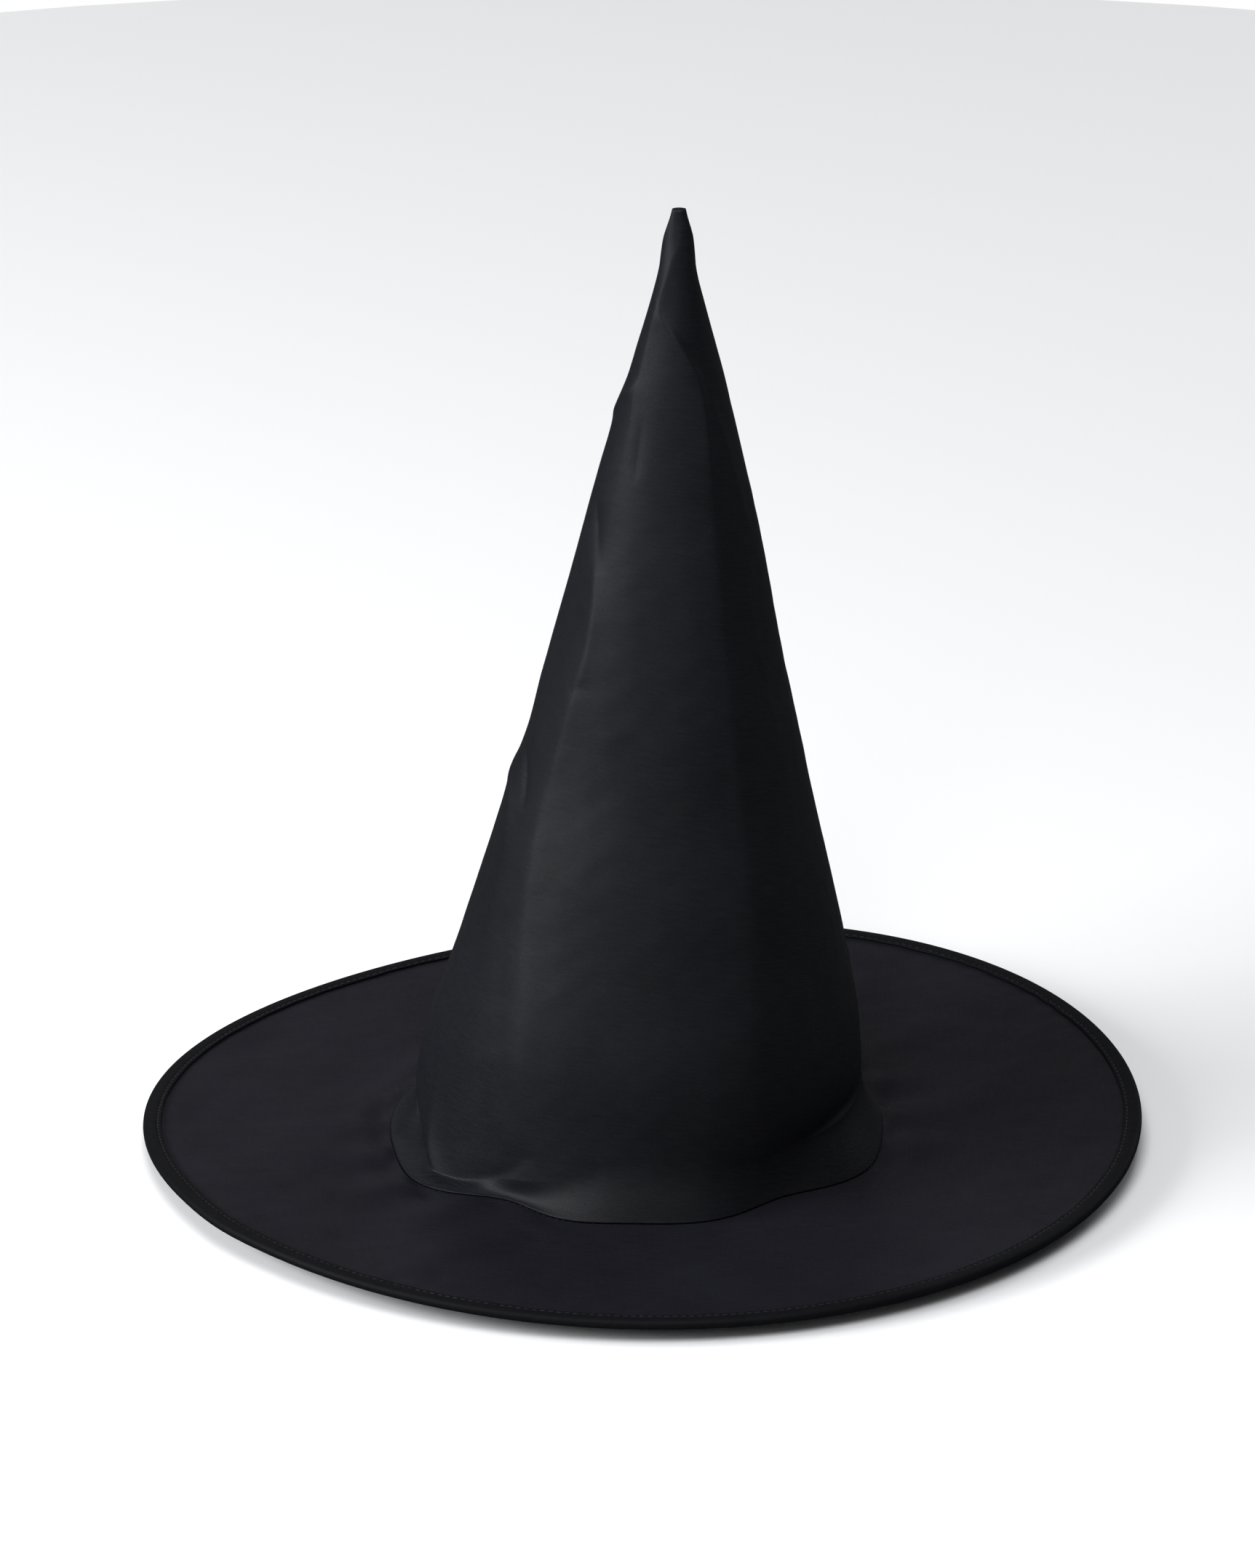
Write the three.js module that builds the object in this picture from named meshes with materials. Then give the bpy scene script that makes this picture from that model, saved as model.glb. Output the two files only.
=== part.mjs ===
// A pointed costume hat: a tall cloth cone sewn to a wide round brim, standing on its brim.
// Millimetres, +Z up, the wearer's front towards -Y. The brim's circle is centred on the Z axis
// and the hat's lowest face lies on z = 0.
import * as THREE from "three";

// Driving dimensions.
const hatHeight = 384; // from the lowest face to the tip
const brimRadius = 190; // over the rim binding
const openingRadius = 91.5; // the brim's inner edge, at the wearer's head
const seamRadius = 93; // the crown's foot, sewn down over the brim's inner edge
const seamCentreX = -3; // the head opening sits a little to one side of the brim's centre
const gap = 0.3; // clearance between touching pieces
const clothThickness = 0.5;
const interliningThickness = 0.4;
const crownClothThickness = 0.6;

// The crown leans to +X: its centre line is seamCentreX + leanSlope * z + leanBend * z * z.
const leanSlope = 0.072;
const leanBend = -0.00008;

// The rim: a wire hoop in a tape channel.
const wireRadius = 0.8;
const ferruleBore = 0.95;
const ferruleRadius = 1.2;
const ferruleLength = 12;
const hoopJoinAngle = THREE.MathUtils.degToRad(213); // where the hoop's ends meet, from +X
const hoopEndGap = 0.6; // between the hoop's two ends, inside the ferrule
const channelHalfHeight = 1.6;
const bindingWidth = 7; // from the rim inwards

// The brim's stiffener keeps clear of the seam allowances at both its edges.
const brimInterliningInner = 94;
const brimInterliningOuter = 182;

// The sweatband and the stitching.
const sweatbandFootZ = 1.2;
const sweatbandThickness = 0.6;
const sweatbandStitchRadius = 87.4;
const sweatbandStitchZ = 4.6;
const bindingStitchInset = 1; // from the binding's inner edge
const threadRadius = 0.3;

// How finely round shapes are divided. A full circle in a Shape gets twice its curveSegments.
const ringSegments = 60;
const hoopSegments = 120;
const wireSides = 6;
const ferruleSides = 12;
const threadSides = 4;

// Heights worked out from the sizes above.
const bindingHalfHeight = channelHalfHeight + clothThickness;
const hoopRadius = brimRadius - bindingHalfHeight;
const brimClothRadius = hoopRadius - wireRadius - gap;
const bindingInnerRadius = brimRadius - bindingWidth;
const clothStack = 2 * clothThickness + 2 * gap + interliningThickness;
const underClothZ = bindingHalfHeight - clothStack / 2;
const brimInterliningZ = underClothZ + clothThickness + gap;
const topClothZ = brimInterliningZ + interliningThickness + gap;
const brimTopZ = topClothZ + clothThickness;
const crownFootZ = brimTopZ + gap + crownClothThickness;

// The crown's outer outline from tip to foot, as radius and height: a cone that ends in a blunt
// tip and flares out over the last few millimetres to lie on the brim.
const crownOutline = new THREE.SplineCurve([
  new THREE.Vector2(2.4, hatHeight - 0.4),
  new THREE.Vector2(4.2, 377),
  new THREE.Vector2(11.2, 341),
  new THREE.Vector2(19.6, 311),
  new THREE.Vector2(33.2, 253),
  new THREE.Vector2(52.4, 165),
  new THREE.Vector2(72.0, 84),
  new THREE.Vector2(83.0, 32),
  new THREE.Vector2(85.6, 16),
  new THREE.Vector2(88.4, 8),
  new THREE.Vector2(seamRadius, crownFootZ),
]);

// Stretches of the outline, as parameters of the spline above.
const tipEnd = 0;
const footEnd = 1;
const interliningTop = 0.12;
const interliningFoot = 0.88;
const sweatbandTop = 0.71;
const sweatbandFold = 0.88;

const crownCentreX = (z) => seamCentreX + leanSlope * z + leanBend * z * z;

const material = (color, roughness, metalness = 0) =>
  new THREE.MeshStandardMaterial({ color, roughness, metalness });

const hat = new THREE.Group();

function add(name, geometry, look) {
  const mesh = new THREE.Mesh(geometry, look);
  mesh.name = name;
  hat.add(mesh);
  return mesh;
}

// A point on the crown's outline, moved inwards by depth along the outline's normal.
function outlinePoint(t, depth) {
  const point = crownOutline.getPoint(t);
  const along = crownOutline.getTangent(t);
  return new THREE.Vector2(point.x + along.y * depth, point.y - along.x * depth);
}

function outlinePoints(from, to, depth, steps) {
  const points = [];
  for (let i = 0; i <= steps; i++) {
    points.push(outlinePoint(from + ((to - from) * i) / steps, depth));
  }
  return points;
}

// A profile of radius and height turned round the Z axis.
function turned(profile) {
  return new THREE.LatheGeometry([...profile].reverse(), ringSegments).rotateX(Math.PI / 2);
}

// Shears a geometry sideways so that it follows the crown's leaning centre line.
function leaned(geometry) {
  const position = geometry.attributes.position;
  for (let i = 0; i < position.count; i++) {
    position.setX(i, position.getX(i) + crownCentreX(position.getZ(i)));
  }
  geometry.computeVertexNormals();
  return geometry;
}

// A flat ring of sheet: round outside, with the off-centre head opening cut out of it.
function brimSheet(innerRadius, outerRadius, bottomZ, thickness) {
  const outline = new THREE.Shape().absarc(0, 0, outerRadius, 0, 2 * Math.PI, false);
  outline.holes.push(new THREE.Path().absarc(seamCentreX, 0, innerRadius, 0, 2 * Math.PI, true));
  const sheet = new THREE.ExtrudeGeometry(outline, {
    depth: thickness,
    bevelEnabled: false,
    curveSegments: ringSegments / 2,
  });
  return sheet.translate(0, 0, bottomZ);
}

// An arc of the hoop's circle, run anticlockwise seen from above.
class RimArc extends THREE.Curve {
  constructor(startAngle, endAngle) {
    super();
    this.startAngle = startAngle;
    this.endAngle = endAngle;
  }

  getPoint(t, target = new THREE.Vector3()) {
    const angle = THREE.MathUtils.lerp(this.startAngle, this.endAngle, t);
    const x = hoopRadius * Math.cos(angle);
    const y = hoopRadius * Math.sin(angle);
    return target.set(x, y, bindingHalfHeight);
  }
}

// The crown's cloth: one wall from the tip to its flared foot, closed over the tip.
function crownShell() {
  const steps = 14;
  const outside = outlinePoints(tipEnd, footEnd, 0, steps);
  const inside = outlinePoints(tipEnd, footEnd, crownClothThickness, steps).reverse();
  const top = new THREE.Vector2(0, hatHeight);
  const topInside = new THREE.Vector2(0, hatHeight - 2 * crownClothThickness);
  return leaned(turned([top, ...outside, ...inside, topInside]));
}

// The stiffener behind the cloth, cut short of the tip and of the flared foot.
function crownInterlining() {
  const steps = 10;
  const depth = crownClothThickness + gap;
  const outside = outlinePoints(interliningTop, interliningFoot, depth, steps);
  const inside = outlinePoints(
    interliningTop,
    interliningFoot,
    depth + interliningThickness,
    steps,
  ).reverse();
  return leaned(turned([...outside, ...inside, outside[0]]));
}

// The band that sits on the wearer's head: it lines the crown's foot and turns out at its lower
// edge to the head opening.
function sweatband() {
  const steps = 3;
  const depth = crownClothThickness + 2 * gap + interliningThickness;
  const footRadius = openingRadius - gap;
  const outside = outlinePoints(sweatbandTop, sweatbandFold, depth, steps);
  const inside = outlinePoints(
    sweatbandTop,
    sweatbandFold,
    depth + sweatbandThickness,
    steps,
  ).reverse();
  const foot = [
    new THREE.Vector2(footRadius, sweatbandFootZ),
    new THREE.Vector2(footRadius - sweatbandThickness, sweatbandFootZ),
  ];
  return leaned(turned([...outside, ...foot, ...inside, outside[0]]));
}

// The tape folded round the rim: two flat legs joined by a half-round edge about the wire.
function edgeBinding() {
  const arc = (radius, steps) => {
    const points = [];
    for (let i = 0; i <= steps; i++) {
      const angle = Math.PI / 2 - (Math.PI * i) / steps;
      const x = hoopRadius + radius * Math.cos(angle);
      points.push(new THREE.Vector2(x, bindingHalfHeight + radius * Math.sin(angle)));
    }
    return points;
  };
  const outer = [
    new THREE.Vector2(bindingInnerRadius, 2 * bindingHalfHeight),
    ...arc(bindingHalfHeight, 6),
    new THREE.Vector2(bindingInnerRadius, 0),
  ];
  const inner = [
    new THREE.Vector2(bindingInnerRadius, clothThickness),
    ...arc(channelHalfHeight, 4).reverse(),
    new THREE.Vector2(bindingInnerRadius, 2 * bindingHalfHeight - clothThickness),
  ];
  return turned([...outer, ...inner, outer[0]]);
}

// The springy wire that keeps the brim round, open where its two ends meet in the ferrule.
function brimHoop() {
  const halfGapAngle = hoopEndGap / 2 / hoopRadius;
  const wire = new THREE.Shape().absarc(0, 0, wireRadius, 0, 2 * Math.PI, false);
  const start = hoopJoinAngle + halfGapAngle;
  const end = hoopJoinAngle + 2 * Math.PI - halfGapAngle;
  return new THREE.ExtrudeGeometry(wire, {
    steps: hoopSegments,
    curveSegments: wireSides / 2,
    extrudePath: new RimArc(start, end),
  });
}

// The crimped sleeve over the hoop's two ends.
function hoopFerrule() {
  const halfAngle = ferruleLength / 2 / hoopRadius;
  const sleeve = new THREE.Shape().absarc(0, 0, ferruleRadius, 0, 2 * Math.PI, false);
  sleeve.holes.push(new THREE.Path().absarc(0, 0, ferruleBore, 0, 2 * Math.PI, true));
  return new THREE.ExtrudeGeometry(sleeve, {
    steps: 4,
    curveSegments: ferruleSides / 2,
    extrudePath: new RimArc(hoopJoinAngle - halfAngle, hoopJoinAngle + halfAngle),
  });
}

// A line of stitching that runs right round, drawn as one thin ring of thread.
function threadRing(radius, centreX, z) {
  const ring = new THREE.TorusGeometry(radius, threadRadius, threadSides, ringSegments);
  return ring.translate(centreX, 0, z);
}

// The stitching of the crown's back seam, from just above the foot to just below the tip.
function backSeamThread() {
  const clearance = -(gap + threadRadius);
  const points = outlinePoints(0.1, 0.9, clearance, 20).map(
    (p) => new THREE.Vector3(crownCentreX(p.y), p.x, p.y),
  );
  const thread = new THREE.Shape().absarc(0, 0, threadRadius, 0, 2 * Math.PI, false);
  return new THREE.ExtrudeGeometry(thread, {
    steps: 24,
    curveSegments: threadSides / 2,
    extrudePath: new THREE.CatmullRomCurve3(points),
  });
}

// Colours: near-black polyester, blacker binding, dark stiffener, plain steel.
const crownCloth = material(0x1b1b1d, 0.72);
const brimCloth = material(0x1c1c23, 0.7);
const bindingTape = material(0x111114, 0.78);
const stiffener = material(0x202021, 0.95);
const ribbon = material(0x141416, 0.75);
const thread = material(0x151517, 0.6);
const steel = material(0x9a9a9e, 0.35, 1);

const topCloth = brimSheet(openingRadius, brimClothRadius, topClothZ, clothThickness);
const underCloth = brimSheet(openingRadius, brimClothRadius, underClothZ, clothThickness);
const brimInterlining = brimSheet(
  brimInterliningInner,
  brimInterliningOuter,
  brimInterliningZ,
  interliningThickness,
);
const baseSeamThread = threadRing(
  seamRadius + gap + 2 * threadRadius,
  seamCentreX,
  brimTopZ + gap + threadRadius,
);
const bindingThread = threadRing(
  bindingInnerRadius + bindingStitchInset,
  0,
  2 * bindingHalfHeight + gap + threadRadius,
);
const sweatbandThread = threadRing(sweatbandStitchRadius, seamCentreX, sweatbandStitchZ);

add("crown_shell", crownShell(), crownCloth);
add("crown_interlining", crownInterlining(), stiffener);
add("brim_top_cloth", topCloth, brimCloth);
add("brim_interlining", brimInterlining, stiffener);
add("brim_under_cloth", underCloth, brimCloth);
add("edge_binding", edgeBinding(), bindingTape);
add("brim_hoop", brimHoop(), steel);
add("hoop_ferrule", hoopFerrule(), steel);
add("sweatband", sweatband(), ribbon);
add("crown_seam_thread", backSeamThread(), thread);
add("base_seam_thread", baseSeamThread, thread);
add("binding_thread", bindingThread, thread);
add("sweatband_thread", sweatbandThread, thread);

export default hat;
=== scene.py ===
"""A black witch hat: a tall creased cloth cone on a wide wired brim, standing on a pale floor.

Metres, +Z up, the wearer's front towards -Y. Shapes are worked out in millimetres and degrees. A turn
is the angle round the hat from its front, positive towards +X, so the back seam is at 180.
"""

import math

import bpy
import numpy as np
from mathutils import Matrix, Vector


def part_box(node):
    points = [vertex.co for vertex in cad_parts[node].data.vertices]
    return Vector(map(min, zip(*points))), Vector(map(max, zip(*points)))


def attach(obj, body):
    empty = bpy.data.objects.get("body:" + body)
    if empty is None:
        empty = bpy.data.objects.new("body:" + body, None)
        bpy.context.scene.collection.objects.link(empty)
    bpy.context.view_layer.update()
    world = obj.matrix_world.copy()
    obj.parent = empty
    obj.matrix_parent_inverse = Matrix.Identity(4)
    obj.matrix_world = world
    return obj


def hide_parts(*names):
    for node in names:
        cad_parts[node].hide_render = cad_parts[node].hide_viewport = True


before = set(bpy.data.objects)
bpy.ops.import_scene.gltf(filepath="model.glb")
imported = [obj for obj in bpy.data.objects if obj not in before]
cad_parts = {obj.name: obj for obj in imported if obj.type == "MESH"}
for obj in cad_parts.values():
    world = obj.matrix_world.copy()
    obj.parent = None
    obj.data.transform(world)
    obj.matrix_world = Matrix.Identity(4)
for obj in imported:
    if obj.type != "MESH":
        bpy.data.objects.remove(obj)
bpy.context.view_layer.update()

MM = 0.001

# ---- Driving dimensions, from the frame, in millimetres ----


def box_mm(node):
    low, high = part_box(node)
    return np.array(low) / MM, np.array(high) / MM


def half_height(node):
    low, high = box_mm(node)
    return (high[2] - low[2]) / 2


crown_low, crown_high = box_mm("crown_shell")
BRIM_RADIUS = box_mm("edge_binding")[1][0]
BINDING_HALF = half_height("edge_binding")
HOOP_RADIUS = BRIM_RADIUS - BINDING_HALF
WIRE_RADIUS = half_height("brim_hoop")
FERRULE_RADIUS = half_height("hoop_ferrule")
THREAD_OUT = 1.3  # from the tape's inner edge out to the far side of the frame's thread
BINDING_INNER = box_mm("binding_thread")[1][0] - THREAD_OUT
CLOTH_EDGE = box_mm("brim_top_cloth")[1][0]
SEAM_RADIUS = (crown_high[0] - crown_low[0]) / 2
SEAM_X = (crown_high[0] + crown_low[0]) / 2

CLOTH = 0.45  # thickness of the cloth
STIFFENER = 0.5  # thickness of the interlining
BRIM_HALF = 0.95  # half the thickness of the brim's cloth stack
STIFFENER_HALF = 0.22  # half the thickness of the brim's stiffener
STIFFENER_OUT = 4.5  # how far the brim's stiffener stops short of the cloth's outer edge
STIFFENER_IN = 3.0  # and of the head seam
BAND_TOP = 29.0  # height of the sweatband's upper edge
LINING_GAP = 0.35  # between the crown's cloth and its stiffener
TAPE_STITCH_OUT = 1.25  # from the tape's inner edge out to its stitches
TAPE_STITCH_UP = 1.66  # height of those stitches over the brim's middle
HOOP_JOIN = -57.0  # the turn where the hoop's ends meet
HOOP_GAP = 0.3  # half the gap between them
FERRULE_HALF = 6.0  # half the length of the ferrule over them
FERRULE_SIDES = 20
RIM_MEAN = 9.0  # mean height of the rim wire above the floor
SEAM_Z = 4.4  # mean height of the brim's middle at the head seam
COLUMNS = 432  # points round the hat
RIM_COLUMNS = 900  # points round the rim
BRIM_ROWS = 70
WALL_ROWS = 400
FLARE_ROWS = 26

# Each kind of stitch: the pitch between stitches, a stitch's length and the thread's radius.
RIM_STITCH = (3.1, 2.5, 0.27)
BAND_STITCH = (3.0, 2.4, 0.26)
BACK_SEAM_STITCH = (2.8, 1.5, 0.2)
HEAD_SEAM_STITCH = (2.9, 2.2, 0.15)
STITCH_TURNS = np.linspace(0, 2 * math.pi, 6, endpoint=False)  # angles round a stitch's thread
STITCH_STEPS = 6

rng = np.random.default_rng(7)


# ---- Curves and smooth noise ----


def hermite(t):
    """Weights of a curve's start, start slope, end and end slope at a share t of its length."""
    return 2 * t**3 - 3 * t**2 + 1, t**3 - 2 * t**2 + t, 3 * t**2 - 2 * t**3, t**3 - t**2


def smooth_curve(knots, x):
    """The values at x of a smooth curve through knots, each a position and one or more values."""
    knots = np.asarray(knots, float)
    at, values = knots[:, 0], knots[:, 1:]
    slopes = np.gradient(values, at, axis=0)
    x = np.clip(np.asarray(x, float), at[0], at[-1])
    i = np.clip(np.searchsorted(at, x, side="right") - 1, 0, len(at) - 2)
    span = (at[i + 1] - at[i])[..., None]
    start, start_slope, end, end_slope = hermite((x - at[i])[..., None] / span)
    made = start * values[i] + start_slope * span * slopes[i]
    made = made + end * values[i + 1] + end_slope * span * slopes[i + 1]
    return made[..., 0] if made.shape[-1] == 1 else made


def wrapped(turn):
    """A turn brought to between -180 and 180."""
    return (np.asarray(turn) + 180) % 360 - 180


def bump(x, centre, width):
    return np.exp(-(((x - centre) / width) ** 2))


def ramp(x, start, end):
    """0 before start, 1 after end, smooth between."""
    t = np.clip((x - start) / (end - start), 0, 1)
    return t * t * (3 - 2 * t)


def make_waves(count, shortest, longest):
    """Directions, wave numbers and phases of a smooth random relief."""
    angle = rng.uniform(0, math.pi, count)
    length = rng.uniform(shortest, longest, count)
    phase = rng.uniform(0, 2 * math.pi, count)
    return angle, 2 * math.pi / length, phase


def relief(waves, u, v):
    """A smooth random height of about -1 to 1 at u, v."""
    made = np.zeros(np.broadcast(u, v).shape)
    for angle, number, phase in zip(*waves):
        made += np.sin((u * math.cos(angle) + v * math.sin(angle)) * number + phase)
    return made / math.sqrt(len(waves[0]))


def ring_noise(turn, lowest, highest, count):
    """A smooth random height of about -1 to 1 that closes on itself round the hat."""
    made = np.zeros(np.shape(turn))
    for number in rng.integers(lowest, highest, count):
        made += np.sin(np.radians(turn) * number + rng.uniform(0, 2 * math.pi))
    return made / math.sqrt(count)


# ---- The brim's shape ----


def seam_radius(turn):
    """The head seam's distance from its centre: an uneven round, with soft corners and flats."""
    t = wrapped(turn)
    corners = 3.6 * bump(t, -60, 13) + 2.6 * bump(t, 68, 14) + 2.4 * bump(t, 112, 20)
    flats = 6.6 * bump(t, -34, 13) + 1.6 * bump(t, 2, 13) + 5.6 * bump(t, 39, 14)
    return SEAM_RADIUS + corners - flats


def seam_height(turn):
    """The height of the brim's middle at the head seam."""
    t = wrapped(turn)
    lifts = 1.7 * bump(t, -34, 13) + 0.9 * bump(t, -4, 14) + 1.3 * bump(t, 38, 15)
    lifts += 0.5 * bump(t, -118, 25)
    dips = 0.5 * bump(t, -60, 13) + 0.6 * bump(t, 68, 14)
    return SEAM_Z + lifts - dips


def rim_height(turn):
    """The height of the rim wire's centre: the springy hoop lies slightly twisted, like a saddle."""
    t = np.radians(turn)
    tilt = 2.7 * np.sin(t) + 0.4 * np.cos(t)
    saddle = -4.1 * np.sin(2 * t) - 0.9 * np.cos(2 * t)
    third = 0.8 * np.sin(3 * t) - 0.2 * np.cos(3 * t)
    return RIM_MEAN + tilt + saddle + third


def hoop_radius(turn):
    """The rim wire's distance from the axis, with a slight kink at the hoop's join."""
    return HOOP_RADIUS + 0.9 * bump(wrapped(turn - HOOP_JOIN), 0, 7)


def seam_point(turn, outwards=0.0):
    """The X and Y of the head seam, moved outwards."""
    t = np.radians(turn)
    r = seam_radius(turn) + outwards
    return SEAM_X + r * np.sin(t), -r * np.cos(t)


brim_swell = make_waves(14, 36, 110)
brim_ripple = make_waves(16, 12, 30)
pucker_turns = np.arange(0, 360, 0.25)
seam_pulls = ring_noise(pucker_turns, 9, 26, 9)
seam_rolls = ring_noise(pucker_turns, 3, 9, 6)
rim_puckers = ring_noise(pucker_turns, 55, 110, 14)


def round_value(values, turn):
    """A ring_noise table read at a turn."""
    return np.interp(np.asarray(turn) % 360, pucker_turns, values, period=360)


def brim_middle(turn, share):
    """X, Y and Z of the brim's middle surface. share is 0 at the head seam and 1 at the wire."""
    t = np.radians(turn)
    x0, y0 = seam_point(turn)
    x1, y1 = hoop_radius(turn) * np.sin(t), -hoop_radius(turn) * np.cos(t)
    x, y = x0 + (x1 - x0) * share, y0 + (y1 - y0) * share
    reach = np.hypot(x1 - x0, y1 - y0)
    from_seam, from_rim = reach * share, reach * (1 - share)
    low = SEAM_Z + 0.25 * (rim_height(turn) - RIM_MEAN)
    local = seam_height(turn) - low
    z = low + (rim_height(turn) - low) * np.maximum(share, 0) ** 1.25 + local * np.exp(-from_seam / 17)
    inside = ramp(from_seam, 0, 12) * ramp(from_rim, 4, 22)
    z += 0.66 * relief(brim_swell, x, y) * inside
    z += 0.12 * relief(brim_ripple, x, y) * inside
    near_seam = np.exp(-from_seam / 20) * ramp(from_seam, 0, 5)
    z += 1.1 * round_value(seam_pulls, turn) * near_seam
    roll = bump(from_seam, 11 + 3 * round_value(seam_rolls, turn + 90), 5)
    z += (0.45 + 0.5 * round_value(seam_rolls, turn)) * roll
    z += 0.22 * round_value(rim_puckers, turn) * np.exp(-from_rim / 9) * ramp(from_rim, 2, 6)
    return x, y, z


# ---- The crown's shape ----

# Height and radius of the smooth cone, from just above its flared foot to the tip.
CROWN_OUTLINE = (
    (8, 86.1), (16, 85.4), (30, 83.9), (54, 80.4), (85, 72.9), (144, 57.9), (194, 45.8),
    (252, 33.0), (309, 19.2), (338, 11.1), (352, 7.8), (373, 4.2), (380.5, 2.6),
)
TIP_Z = 380.5
APEX_Z = 386.0  # where the cone's straight side would end
CONE_SLOPE = 0.2325

# Where the cloth of the crown turns under at the head seam: outwards from it and up from the brim.
FOOT_ROLL = ((-0.95, -0.9), (-0.85, -0.35), (-0.5, 0.05), (-0.12, 0.3), (0.05, 0.52))

# Turn, the height where the wall starts to flare out to the seam, the flare's angle at the seam, and
# how crisp the bend between wall and flare is, from 0 to 1.
FLARE = (
    (-180, 14, 34, 0.3), (-125, 13, 26, 0.3), (-95, 14, 18, 0.6), (-78, 12, 18, 0.6),
    (-62, 8, 32, 0.5), (-50, 9, 24, 0.3), (-38, 13, 20, 0.4), (-28, 16, 28, 0.6),
    (-18, 21, 50, 0.2), (-6, 29, 66, 0.0), (18, 28, 68, 0.0), (32, 21, 60, 0.5),
    (48, 23, 54, 0.9), (66, 25, 54, 0.9), (85, 26, 52, 0.9), (105, 22, 42, 0.6),
    (140, 16, 34, 0.3), (180, 14, 34, 0.3),
)

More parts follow.
